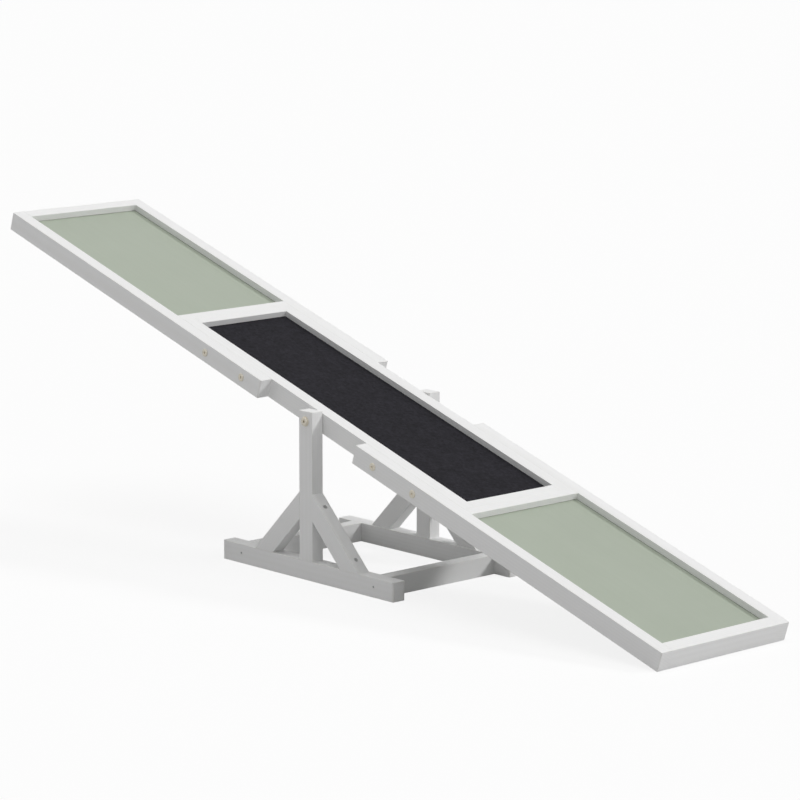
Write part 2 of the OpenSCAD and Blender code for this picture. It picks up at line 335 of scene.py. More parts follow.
@dataclass(frozen=True)
class Finish:
    """Base of the finishes."""

    slot: str

    def draw(self, on: Pattern) -> None:
        """Draws the finish as the pattern of one piece."""
        raise NotImplementedError


@dataclass(frozen=True)
class PaintedTimber(Finish):
    """Satin paint brushed on planed softwood, thin on the arrises and faintly open at the grain."""

    paint: Colour = (0.872, 0.872, 0.870)
    thin_paint: Colour = (0.835, 0.834, 0.827)
    rubbed: Colour = (0.80, 0.79, 0.755)
    ring_spacing: float = 0.0045
    grain_stretch: float = 0.045
    brush_stretch: float = 0.12

    def draw(self, on: Pattern) -> None:
        """Draws rings and fibres under brush marks.

        Args:
            on: Pattern of the piece.
        """
        along = on.drawn_out(self.grain_stretch)
        rings = on.rings(along, self.ring_spacing, 3.0)
        fibres = on.noise(0.0009, 3.0, 0.6, along)
        brushed = on.noise(0.0022, at=on.drawn_out(self.brush_stretch))
        mottle = on.noise(0.05, 3.0)
        stipple = on.noise(0.0007, 1.0)
        open_grain = on.sums((rings, 0.55), (fibres, 0.45), (mottle, 0.5))
        coat = on.tint(on.spread(open_grain, 0.0, 0.75, 0.45, 1.25), self.paint, self.thin_paint)
        worn = on.math("MULTIPLY", on.mark(ARRIS), on.spread(mottle, 0.1, 0.9, 0.35, 0.75))
        on.coat(
            on.tint(worn, coat, self.rubbed),
            on.spread(on.sums((brushed, 0.6), (mottle, 0.4)), 0.44, 0.60),
            Specular_IOR_Level=0.42,
        )
        height = on.sums((rings, 0.5), (fibres, 0.3), (brushed, 0.35), (stipple, 0.12))
        on.relief(height, 0.00010, 0.35)


@dataclass(frozen=True)
class PaintedBoard(Finish):
    """Rolled paint on plywood, with a fine orange-peel and the ply's faint straight grain."""

    paint: Colour
    thin_paint: Colour
    grain_stretch: float = 0.03
    smoothest: float = 0.44
    roughest: float = 0.58

    def draw(self, on: Pattern) -> None:
        """Draws the ply's grain under the roller's peel.

        Args:
            on: Pattern of the piece.
        """
        along = on.drawn_out(self.grain_stretch)
        grain = on.noise(0.006, 4.0, 0.6, along)
        fibres = on.noise(0.0012, at=along)
        clouds = on.noise(0.09, 3.0)
        peel = on.noise(0.0016)
        share = on.spread(on.sums((grain, 0.5), (clouds, 0.5)), 0.0, 1.0, 0.3, 0.75)
        on.coat(
            on.tint(share, self.paint, self.thin_paint),
            on.spread(peel, self.smoothest, self.roughest),
            Specular_IOR_Level=0.4,
        )
        on.relief(on.sums((peel, 0.5), (grain, 0.3), (fibres, 0.25)), 0.00012, 0.35)


@dataclass(frozen=True)
class GritSheet(Finish):
    """Black anti-slip sheet: dark mineral grains bound in a matt coat."""

    binder: Colour = (0.0050, 0.0047, 0.0062)
    grains: Colour = (0.0245, 0.0234, 0.0295)
    glint: Colour = (0.085, 0.080, 0.098)
    grain_size: float = 0.0011

    def draw(self, on: Pattern) -> None:
        """Draws mottled grains with a few glints.

        Args:
            on: Pattern of the piece.
        """
        coarse = on.noise(0.0065, 4.0, 0.7)
        fine = on.noise(0.0008, 2.0, 0.6)
        patches = on.noise(0.02, 3.0)
        cells = on.node("ShaderNodeTexVoronoi", {"Vector": on.at, "Scale": 1 / self.grain_size})
        mottle = on.sums((coarse, 0.6), (fine, 0.2), (patches, 0.2))
        coat = on.tint(on.spread(mottle, 0.0, 1.0, 0.36, 0.64), self.binder, self.grains)
        on.coat(
            on.tint(on.spread(fine, 0.0, 0.6, 0.68, 0.80), coat, self.glint),
            on.spread(coarse, 0.78, 0.95),
            Specular_IOR_Level=0.12,
        )
        height = on.sums((coarse, 0.5), (fine, 0.3), (cells.outputs["Distance"], -0.35))
        on.relief(height, 0.0006, 0.8)


@dataclass(frozen=True)
class Steel(Finish):
    """Plated or blackened steel with a faintly uneven coat and fine tool marks, in places painted over."""

    plate: Colour
    tone: Colour
    metallic: float
    roughness: float
    paint: Colour = (0.84, 0.84, 0.83)
    paint_roughness: float = 0.52

    def draw(self, on: Pattern) -> None:
        """Draws the plate's bloom and the paint over it.

        Args:
            on: Pattern of the piece.
        """
        bloom = on.noise(0.005, 3.0, 0.6)
        marks = on.noise(0.0004, at=on.drawn_out(0.15))
        painted = on.mark(PAINTED)
        plate = on.tint(on.spread(bloom, 0.0, 1.0, 0.3, 0.7), self.plate, self.tone)
        rough = on.sums((bloom, 0.5), (marks, 0.5))
        bare = on.spread(rough, self.roughness - 0.08, self.roughness + 0.1, 0.3, 0.7)
        on.coat(
            on.tint(painted, plate, self.paint),
            on.sums((bare, 1.0), (painted, self.paint_roughness - self.roughness)),
            Metallic=on.spread(painted, self.metallic, 0.0),
        )
        on.relief(marks, 0.00003, 0.3)


@dataclass(frozen=True)
class TwoTone(Finish):
    """Bare stuff in two close tones, such as moulded nylon or turned beech."""

    first: Colour
    second: Colour
    contrast: Pair
    roughness: Pair
    mark_size: float
    stretch: float
    relief_size: float
    relief_depth: float

    def draw(self, on: Pattern) -> None:
        """Draws the marks and the fine relief.

        Args:
            on: Pattern of the piece.
        """
        at = on.drawn_out(self.stretch)
        marks = on.noise(self.mark_size, at=at)
        share = on.spread(marks, 0.0, 1.0, *self.contrast)
        on.coat(on.tint(share, self.first, self.second), on.spread(marks, *self.roughness))
        on.relief(on.noise(self.relief_size, at=at), self.relief_depth, 0.4)


WHITE_PAINT = PaintedTimber("white_paint")
SAGE_PAINT = PaintedBoard("sage_paint", (0.394, 0.438, 0.362), (0.371, 0.414, 0.339))
UNDERSIDE_PAINT = PaintedBoard("board_underside", (0.84, 0.84, 0.82), (0.80, 0.80, 0.78))
ANTI_SLIP = GritSheet("anti_slip")
ZINC = Steel("zinc", (0.82, 0.765, 0.64), (0.74, 0.695, 0.595), 0.20, 0.48)
DARK_STEEL = Steel("dark_screw", (0.16, 0.16, 0.17), (0.11, 0.11, 0.115), 0.8, 0.45)
NYLON = TwoTone(
    "nylon", (0.80, 0.80, 0.77), (0.74, 0.74, 0.71), (0.3, 0.7), (0.40, 0.52), 0.004, 1.0, 0.0003, 0.00003
)
BEECH = TwoTone(
    "beech", (0.62, 0.46, 0.28), (0.45, 0.31, 0.17), (0.45, 0.7), (0.55, 0.7), 0.0008, 0.2, 0.0008, 0.0001
)


# ---- modelling


def pick(*pieces: Piece) -> None:
    """Selects these pieces alone, and makes the first one active.

    Args:
        pieces: The pieces.
    """
    bpy.ops.object.select_all(action="DESELECT")
    for piece in pieces:
        piece.select_set(True)
    bpy.context.view_layer.objects.active = pieces[0]


@contextmanager
def editing(piece: Piece) -> Iterator[None]:
    """Holds a piece in edit mode, with all its faces selected at first.

    Args:
        piece: The piece.

    Yields:
        Nothing.
    """
    pick(piece)
    bpy.ops.object.mode_set(mode="EDIT")
    bpy.ops.mesh.select_mode(type="FACE")
    bpy.ops.mesh.select_all(action="SELECT")
    try:
        yield
    finally:
        bpy.ops.object.mode_set(mode="OBJECT")


def settle(piece: Piece) -> Piece:
    """Moves a piece's place, turn and scale into its mesh.

    Args:
        piece: The piece.

    Returns:
        The piece.
    """
    pick(piece)
    bpy.ops.object.transform_apply(location=True, rotation=True, scale=True)
    return piece


def put(piece: Piece, matrix: Matrix) -> Piece:
    """Moves and turns a piece, and keeps its new place in its mesh."""
    piece.matrix_world = matrix
    return settle(piece)


def apply(piece: Piece, kind: str, **settings: object) -> None:
    """Adds a modifier to a piece and applies it.

    Args:
        piece: The piece.
        kind: Type of the modifier.
        settings: Its settings.
    """
    modifier = piece.modifiers.new(kind.lower(), kind)
    for key, value in settings.items():
        setattr(modifier, key, value)
    pick(piece)
    bpy.ops.object.modifier_apply(modifier=modifier.name)


def cut(piece: Piece, *cutters: Piece) -> None:
    """Cuts shapes out of a piece, and deletes them."""
    for cutter in cutters:
        apply(piece, "BOOLEAN", operation="DIFFERENCE", solver="EXACT", object=cutter)
        bpy.data.objects.remove(cutter)


def named(name: str) -> Piece:
    """Names the piece that was just made."""
    bpy.context.object.name = bpy.context.object.data.name = name
    return bpy.context.object


def block(name: str, first: Point, second: Point) -> Piece:
    """Adds a squared block between two opposite corners.

    Args:
        name: Name of the piece.
        first: One corner.
        second: The opposite corner.

    Returns:
        The piece.
    """
    a, b = Vector(first), Vector(second)
    bpy.ops.object.select_all(action="DESELECT")
    bpy.ops.mesh.primitive_cube_add(size=1, location=(a + b) / 2)
    piece = named(name)
    piece.scale = [abs(d) for d in b - a]
    return settle(piece)


def turned(stations: Sequence[Pair], sides: int = 48) -> Piece:
    """Draws a round solid up from a disc, by extruding and scaling its face again and again.

    Args:
        stations: Radius and height of each step along Z.
        sides: Number of sides of the disc.

    Returns:
        The piece.
    """
    radius, height = stations[0]
    bpy.ops.object.select_all(action="DESELECT")
    bpy.ops.mesh.primitive_circle_add(
        vertices=sides, radius=radius, fill_type="NGON", location=(0, 0, height)
    )
    piece = settle(bpy.context.object)
    with editing(piece):
        for (old_radius, old_height), (radius, height) in zip(stations, stations[1:]):
            bpy.ops.mesh.extrude_region_move(
                TRANSFORM_OT_translate={"value": (0, 0, height - old_height)}
            )
            factor = radius / old_radius
            bpy.ops.transform.resize(value=(factor, factor, 1), center_override=(0, 0, height))
        bpy.ops.mesh.select_all(action="SELECT")
        bpy.ops.mesh.normals_make_consistent(inside=False)
    return piece


def rod(radius: float, low: float, high: float, matrix: Matrix = HERE, sides: int = 32) -> Piece:
    """Turns a plain rod between two heights and puts it in its place."""
    return put(turned([(radius, low), (radius, high)], sides), matrix)


def cross_rod(radius: float, reach: float, at: Point, sides: int = 32) -> Piece:
    """Turns a plain rod along Y, with the same reach on both sides of a point."""
    return rod(radius, -reach, reach, shifted(*at) @ rotated(90, "X"), sides)


def timber(name: str, first: Point, second: Point, radius_at: EdgeRadius, segments: int = 3) -> Piece:
    """Models a squared timber and rounds its edges, each by a radius of its own.

    Args:
        name: Name of the piece.
        first: One corner.
        second: The opposite corner.
        radius_at: Gives the radius from an edge's middle and direction.
        segments: Number of steps in the rounding.

    Returns:
        The piece.
    """
    piece = block(name, first, second)
    mesh = piece.data
    radii = []
    for edge in mesh.edges:
        a, b = (mesh.vertices[i].co for i in edge.vertices)
        radii.append(radius_at((a + b) / 2, (b - a).normalized()))
    widest = max(radii)
    weights = mesh.attributes.new("bevel_weight_edge", "FLOAT", "EDGE")
    weights.data.foreach_set("value", [radius / widest for radius in radii])
    apply(
        piece, "BEVEL", limit_method="WEIGHT", width=widest, segments=segments, use_clamp_overlap=False
    )
    left_over = mesh.attributes.get("bevel_weight_edge")
    if left_over:
        mesh.attributes.remove(left_over)
    return piece


def saw_off(piece: Piece, point: Point, normal: Point) -> None:
    """Saws off what lies behind a plane, given by a point and its normal, and closes the cut."""
    with editing(piece):
        bpy.ops.mesh.bisect(plane_co=point, plane_no=normal, use_fill=True, clear_inner=True)


def repeat(name: str, model: Piece, places: Sequence[Matrix]) -> Piece:
    """Sets copies of a model in several places and joins them, and deletes the model.

    Args:
        name: Name of the set.
        model: The model.
        places: Move and turn of each copy.

    Returns:
        The set.
    """
    copies = []
    for place in places:
        twin = model.copy()
        twin.data = model.data.copy()
        bpy.context.collection.objects.link(twin)
        copies.append(put(twin, place))
    bpy.data.objects.remove(model)
    pick(*copies)
    bpy.ops.object.join()
    return named(name)


def mark_faces(piece: Piece, name: str, wanted: FaceTest) -> None:
    """Marks some faces of a piece, for its finish to find.

    Args:
        piece: The piece.
        name: Name of the mark.
        wanted: Tells from a face's middle and normal whether it is marked.
    """
    marks = piece.data.attributes.new(name, "FLOAT", "CORNER")
    for face in piece.data.polygons:
        for corner in face.loop_indices:
            marks.data[corner].value = float(wanted(face.center, face.normal))


def mark_arrises(piece: Piece) -> None:
    """Marks the rounded edges of a timber that still lies square, for its paint to wear there."""
    mark_faces(piece, ARRIS, lambda middle, normal: max(abs(n) for n in normal) <= SQUARE)


def smooth(piece: Piece) -> None:
    """Cleans a piece's mesh and shades it smooth but for its sharp edges.

    Args:
        piece: The piece.
    """
    with editing(piece):
        bpy.ops.mesh.remove_doubles(threshold=MERGED)
        bpy.ops.mesh.normals_make_consistent(inside=False)
    pick(piece)
    bpy.ops.object.shade_smooth_by_angle(angle=SHARP)
    apply(piece, "WEIGHTED_NORMAL", keep_sharp=True)


def dress(piece: Piece, finish: Finish, grain: Grain, place: Matrix) -> None:
    """Gives a piece its finish, on a part of the pattern that is always the same for its name.

    Args:
        piece: The piece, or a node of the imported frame.
        finish: The finish.
        grain: Direction of the grain in the piece's level position.
        place: The piece's place.
    """
    draw = random.Random(piece.name)
    shift = draw.uniform(-3, 3), draw.uniform(0.03, 0.07), draw.uniform(-0.08, -0.04)
    pattern = Pattern(f"{finish.slot}_{piece.name}", shift, place.to_3x3() @ rotated(*grain.value).to_3x3())
    finish.draw(pattern)
    piece.data.materials.clear()
    piece.data.materials.append(pattern.owner)


def hand_over(
    piece: Piece, node: str, body: Body, finish: Finish, grain: Grain, place: Matrix = HERE
) -> None:
    """Shades and dresses a finished piece, and lets it stand for its node.

    Args:
        piece: The piece.
        node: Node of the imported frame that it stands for.
        body: Body that it rides on.
        finish: Its finish.
        grain: Direction of its grain in its level position.
        place: Its place, if it was modelled elsewhere.
    """
    smooth(piece)
    dress(piece, finish, grain, place)
    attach(piece, body.value)
    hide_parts(node)
    LOG.info("%s stands for %s, with %d faces", piece.name, node, len(piece.data.polygons))


# ---- plank


@dataclass
class PlankPart:
    """Base of the plank's sub-assemblies, which are modelled level and then tipped."""

    sizes: SeesawSizes

    def tip(self, piece: Piece, node: str, finish: Finish, grain: Grain) -> None:
        """Tips a level piece into the resting plank and hands it over."""
        place = self.sizes.plank_place
        hand_over(put(piece, place), node, Body.PLANK, finish, grain, place)


@dataclass
class BoardFrame(PlankPart):
    """Base of the frames, whose grooved and dowelled rails hold a board."""

    def groove_span(self) -> Point:
        """Gives both ends and the half width between the bottoms of the board's grooves."""
        raise NotImplementedError

    def rail(
        self, kind: str, tag: str, us: Pair, vs: Pair, radius_at: EdgeRadius, dowels: Sequence[Pair],
        grain: Grain = Grain.ALONG, bores: Sequence[Piece] = (), segments: int = 3, node: str = "",
    ) -> None:
        """Models a rail, rounded, grooved for the board and bored, and hands it over.

        Args:
            kind: Kind of rail.
            tag: Which one it is.
            us: Its extent along the plank.
            vs: Its extent across the plank.
            radius_at: Gives the rounding from an edge's middle and direction.
            dowels: Places of its dowels along and across the plank.
            grain: Direction of its grain.
            bores: Shapes of its other bores.
            segments: Number of steps in the rounding.
            node: Node that it stands for, if that isn't the tag and the kind.
        """
        s, h = self.sizes, self.sizes.rail_half_depth
        piece = timber(f"{kind}_{tag}", (us[0], vs[0], -h), (us[1], vs[1], h), radius_at, segments)
        u0, u1, v = self.groove_span()
        low, high = s.board_top_w - s.board_thickness, s.board_top_w + s.board_clearance
        cut(piece, block("space", (u0, -v, low), (u1, v, high)), *bores)
        for u, v in dowels:
            for w in (-h / 2, h / 2):
                cut(piece, cross_rod(s.dowel_radius + s.fit, s.dowel_length / 2 + s.fit, (u, v, w)))
        mark_arrises(piece)
        self.tip(piece, node or f"{tag}_{kind}", WHITE_PAINT, grain)

    def butt_rail(
        self, kind: str, end: End, us: Pair, half_v: float, dowel_u: float, outer_radius: float, node: str = ""
    ) -> None:
        """Models a rail that butts between two long ones.

        Args:
            kind: Kind of rail.
            end: End at which it is.
            us: Distances from the pivot to its inner and outer faces.
            half_v: Half its length.
            dowel_u: Distance from the pivot to its dowels.
            outer_radius: Rounding of its outer long edges.
            node: Node that it stands for, if that isn't the end and the kind.
        """
        e, inner_radius = end.value, self.sizes.joint_eased

        def radius_at(middle: Vector, along: Vector) -> float:
            """Rounds the long edges only."""
            radius = outer_radius if abs(middle.x) > us[1] - TINY else inner_radius
            return radius if runs(along, Y) else 0.0

        dowels = [(e * dowel_u, q.value * half_v) for q in Side]
        spans = (e * us[0], e * us[1]), (-half_v, half_v)
        self.rail(kind, end.word, *spans, radius_at, dowels, Grain.ACROSS, node=node)

    def board(self, tag: str, finish: Finish) -> None:
        """Models the board, whose edges stop short of its grooves' bottoms.

        Args:
            tag: Which one it is.
            finish: Its paint.
        """
        s = self.sizes
        u0, u1, v = self.groove_span()
        gap, low = s.board_clearance, s.board_top_w - s.board_thickness
        first, second = (u0 + gap, gap - v, low), (u1 - gap, v - gap, s.board_top_w)
        piece = timber(f"board_{tag}", first, second, lambda middle, along: s.joint_eased, 2)
        self.tip(piece, f"{tag}_board", finish, Grain.ALONG)


@dataclass
class EndFrame(BoardFrame):
    """Frame at one end of the plank, whose side rails run on past it and lap the centre frame."""

    end: End
    rail_corner: float = 0.002

    def groove_span(self) -> Point:
        """Gives both ends and the half width between the bottoms of the board's grooves.

        Returns:
            Both ends along the plank, and the half width.
        """
        s, e = self.sizes, self.end.value
        u0, u1 = sorted((e * (s.green_u - s.groove_depth), e * (s.end_u - s.rail_thickness + s.groove_depth)))
        return u0, u1, s.side_in_v + s.groove_depth

    def side_rail(self, side: Side) -> None:
        """Models one side rail, bored for its bolts.

        Args:
            side: Side of the plank.
        """
        s, e, q = self.sizes, self.end.value, side.value

        def radius_at(middle: Vector, along: Vector) -> float:
            """Rounds the outer corners most and the edges at the joints least.

            Args:
                middle: Middle of the edge.
                along: Direction of the edge.

            Returns:
                The radius.
            """
            outside = abs(middle.y) > s.side_out_v - TINY
            if runs(along, Z):
                return self.rail_corner if outside else 0.0
            return s.joint_eased if runs(along, X) and not outside else s.eased

        middle = q * (s.side_in_v + s.rail_thickness / 2)
        self.rail(
            "side_rail", f"{side.word}_{self.end.word}",
            (e * s.notch_u, e * s.end_u), (q * s.side_in_v, q * s.side_out_v), radius_at,
            [(e * u, q * s.side_in_v) for u in (s.end_u - s.end_dowel_inset, s.lap_u + s.cross_dowel_inset)],
            bores=[cross_rod(s.bolt_hole, s.rail_thickness, (e * u, middle, 0)) for u in s.bolts_u],
            segments=4,
        )

    def build(self) -> None:
        """Builds the whole frame."""
        s = self.sizes
        for side in Side:
            self.side_rail(side)
        for kind, us, dowel_u, outer_radius in (
            ("end_rail", (s.end_u - s.rail_thickness, s.end_u), s.end_u - s.end_dowel_inset, s.eased),
            ("cross_rail", (s.lap_u, s.green_u), s.lap_u + s.cross_dowel_inset, s.joint_eased),
        ):
            self.butt_rail(kind, self.end, us, s.side_in_v, dowel_u, outer_radius)
        self.board(self.end.word, SAGE_PAINT)


@dataclass
class CentreFrame(BoardFrame):
    """Narrower frame in the middle, which carries the tread and the pivot."""

    bolt_bore: float = 0.020
    barrel_hole: float = 0.00505
    insert_hole: float = 0.00605
    tread_thickness: float = 0.002
    tread_cell: float = 0.0024
    tread_grit: float = 0.00035
    grit_cells: float = 1.6

    def groove_span(self) -> Point:
        """Gives both ends and the half width between the bottoms of the board's grooves."""
        s = self.sizes
        return -s.open_u - s.groove_depth, s.open_u + s.groove_depth, s.centre_in_v + s.groove_depth

    def centre_rail(self, side: Side) -> None:
        """Models one centre rail, bored for its bolts, barrel nuts and threaded insert.

        Args:
            side: Side of the plank.
        """
        s, q = self.sizes, side.value
        face, core = q * s.side_in_v, q * (s.side_in_v - s.rail_thickness / 2)
        barrel = self.barrel_hole, -s.rail_half_depth - OVERCUT, s.barrel_length / 2 + s.fit
        bores = []
        for u in [e.value * u for e in End for u in s.bolts_u]:
            bores += rod(*barrel, shifted(u, core, 0)), cross_rod(s.bolt_hole, self.bolt_bore, (u, face, 0))
        inward = shifted(0, face + q * OVERCUT, 0) @ rotated(90 * q, "X")
        bores.append(rod(self.insert_hole, 0.0, s.insert_length + s.fit + OVERCUT, inward))
        self.rail(
            "centre_rail", side.word, (-s.lap_u, s.lap_u), (q * s.centre_in_v, face),
            lambda middle, along: s.joint_eased if runs(along, X) else 0.0,
            [(e.value * (s.lap_u - s.cross_dowel_inset), q * s.centre_in_v) for e in End], bores=bores,
        )

    def tread(self) -> None:
        """Models the anti-slip sheet: a fine grid, roughened on top, with a thickness."""
        s = self.sizes
        half_u, half_v = s.open_u - s.board_clearance, s.centre_in_v - s.board_clearance
        bpy.ops.object.select_all(action="DESELECT")
        bpy.ops.mesh.primitive_grid_add(
            x_subdivisions=round(2 * half_u / self.tread_cell),
            y_subdivisions=round(2 * half_v / self.tread_cell),
            size=2,
            location=(0, 0, s.board_top_w + self.tread_thickness - self.tread_grit / 2),
        )
        piece = named("tread_sheet")
        piece.scale = (half_u, half_v, 1)
        settle(piece)
        grit = bpy.data.textures.new("grit", "CLOUDS")
        grit.noise_scale, grit.noise_depth = self.grit_cells * self.tread_cell, 2
        apply(
            piece, "DISPLACE", texture=grit, texture_coords="LOCAL", direction="Z", mid_level=0.5,
            strength=self.tread_grit,
        )
        with editing(piece):
            down = (0, 0, -self.tread_thickness / 2)
            bpy.ops.mesh.extrude_region_move(TRANSFORM_OT_translate={"value": down})
            bpy.ops.transform.resize(value=(1, 1, 0), center_override=(0, 0, s.board_top_w))
        self.tip(piece, "tread", ANTI_SLIP, Grain.ALONG)

    def build(self) -> None:
        """Builds the whole frame."""
        s = self.sizes
        for side in Side:
            self.centre_rail(side)
        for end in End:
            self.butt_rail(
                "centre_end_rail", end, (s.open_u, s.lap_u), s.centre_in_v, s.lap_u - s.cross_dowel_inset,
                s.joint_eased, f"centre_{end.word}_end_rail",
            )
        self.board("centre", UNDERSIDE_PAINT)
        self.tread()


# ---- fasteners


@dataclass(frozen=True)
class FlatBolt:
    """Flat-headed bolt with a hexagon socket."""

    radius: float
    length: float
    head: float
    height: float
    key: float
    key_depth: float
    chamfer: float = 0.0006
    lead_in: float = 0.0004

    def model(self) -> Piece:
        """Models the bolt upright, with its head's underside at the origin.

        Returns:
            The bolt.
        """
        r, head, top, bevel, rim = self.radius, self.head, self.height, self.chamfer, self.chamfer / 3
        bolt = turned([
            (r - bevel, -self.length), (r, bevel - self.length), (r, 0.0), (head - rim, 0.0), (head, rim),
            (head, top - bevel), (head - rim, top - rim), (head - bevel, top), (CROWN * head, top),
        ])
        corner, floor = self.key / 2 / math.cos(math.radians(30)), top - self.key_depth
        socket = turned([(corner * 0.5, floor - bevel), (corner, floor), (corner, top + 0.001)], 6)
        lead_in = turned([(corner * 0.9, top - self.lead_in), (corner * 1.12, top + 0.0001)], 24)
        cut(bolt, socket, lead_in)
        return bolt


@dataclass(frozen=True)
class WoodScrew:
    """Countersunk wood screw with a cross recess, and the hole that it sits in."""

    length: float
    bore: float
    radius: float = 0.002
    head: float = 0.004
    tip: float = 0.005
    rim: float = 0.0001
    recess_span: float = 0.0048
    recess_width: float = 0.0012
    recess_depth: float = 0.0014
    recess_taper: float = 0.7

    def model(self) -> Piece:
        """Models the screw pointing down, with its head's top face at the origin.

        Returns:
            The screw.
        """
        r, head, low, rim = self.radius, self.head, -self.length, self.rim
        screw = turned([
            (2 * rim, low), (0.6 * r, low + self.tip / 2), (r, low + self.tip), (r, r - head),
            (head, -3 * rim), (head, -rim), (head - rim, 0.0), (CROWN * head, 0.0),
        ], 32)
        half, width, corner = self.recess_span / 2, self.recess_width / 2, math.sqrt(2)
        taper = [(self.recess_taper * corner, -self.recess_depth), (corner, 0.001)]
        for x, y in ((half, width), (width, half)):
            arm = put(turned(taper, 4), rotated(45, "Z"))
            cut(screw, put(arm, Matrix.Diagonal((x, y, 1, 1))))
        return screw

    def drill(self, piece: Piece, fit: float, places: Sequence[Matrix]) -> None:
        """Drills a piece for some screws, with a counterbore above each head.

        Args:
            piece: The piece.
            fit: Clearance round the screws.
            places: Places of the screws.
        """
        shank, wide = self.radius + fit, self.head + fit
        hole = [(shank, -self.length - fit), (shank, self.radius - self.head), (wide, 0.0), (wide, self.bore)]
        for place in places:
            cut(piece, put(turned(hole, 32), place))


@dataclass
class PlankHardware(PlankPart):
    """Bolts, nuts, washers and inserts of the plank."""

    joint_bolt: FlatBolt = FlatBolt(0.003, 0.044, 0.007, 0.0015, 0.004, 0.002)
    pivot_bolt: FlatBolt = FlatBolt(0.004, 0.04175, 0.0075, 0.0025, 0.005, 0.004)
    barrel_radius: float = 0.005
    slot_width: float = 0.0012
    slot_depth: float = 0.0015
    washer_radius: float = 0.009
    washer_thickness: float = 0.0015
    washer_hole: float = 0.00425
    insert_radius: float = 0.006
    insert_floor: float = 0.0005
    chamfer: float = 0.0006

    def cylinder(self, radius: float, low: float, high: float, bevel: float) -> Piece:
        """Turns a cylinder between two heights, with bevelled rims."""
        return turned(
            [(radius - bevel, low), (radius, low + bevel), (radius, high - bevel), (radius - bevel, high)]
        )

    def outward(self, u: float, v: float, w: float) -> Matrix:
        """Gives the place of an upright fastener that is to point outwards from a side face."""
        return shifted(u, v, w) @ rotated(-90 if v > 0 else 90, "X")

    def lap_places(self, v: float) -> list[Point]:
        """Gives the places of the eight fasteners at the laps, at a distance from the middle."""
        return [(e.value * u, q.value * v, 0) for e in End for q in Side for u in self.sizes.bolts_u]

    def joint_bolts(self) -> None:
        """Sets the eight bolts through the lapped side rails."""
        places = [self.outward(*p) for p in self.lap_places(self.sizes.side_out_v)]
        bolts = repeat("joint_bolt_set", self.joint_bolt.model(), places)
        self.tip(bolts, "joint_bolts", ZINC, Grain.ACROSS)

    def barrel_nuts(self) -> None:
        """Sets the barrel nuts into the centre rails, with their slots to the underside."""
        s = self.sizes
        half, long, wide = s.barrel_length / 2, 2 * self.barrel_radius, self.slot_width / 2
        nut = self.cylinder(self.barrel_radius, -half, half, self.chamfer)
        cut(nut, cross_rod(self.joint_bolt.radius + s.fit, long, (0, 0, 0)))
        cut(nut, block("slot", (-wide, -long, -2 * half), (wide, long, self.slot_depth - half)))
        places = [shifted(*p) for p in self.lap_places(s.side_in_v - s.rail_thickness / 2)]
        self.tip(repeat("barrel_nut_set", nut, places), "barrel_nuts", ZINC, Grain.UPRIGHT)

    def pivot(self) -> None:
        """Sets the pivot bolts with their washers, and the inserts that they screw into."""
        s, thick, bevel = self.sizes, self.washer_thickness, self.chamfer / 2
        washer = self.cylinder(self.washer_radius, 0, thick, bevel)
        cut(washer, rod(self.washer_hole, -thick, thick + OVERCUT))
        insert = self.cylinder(self.insert_radius, 0, s.insert_length, bevel)
        thread = s.pivot_radius + s.fit
        cut(insert, rod(thread, self.insert_floor, s.insert_length + OVERCUT))
        seat = s.post_out_y + s.end_play
        for part, v, kind in (
            (self.pivot_bolt.model(), seat + thick, "bolt"),
            (washer, seat, "washer"),
            (insert, s.side_in_v - s.insert_length, "insert"),
        ):
            places = [self.outward(0, q.value * v, 0) for q in Side]
            self.tip(repeat(f"pivot_{kind}_set", part, places), f"pivot_{kind}s", ZINC, Grain.ACROSS)

    def build(self) -> None:
        """Builds the plank's hardware, and dresses the dowels that the rails hide."""
        self.joint_bolts()
        self.barrel_nuts()
        self.pivot()
        dress(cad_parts["frame_dowels"], BEECH, Grain.ACROSS, self.sizes.plank_place)


# ---- stand


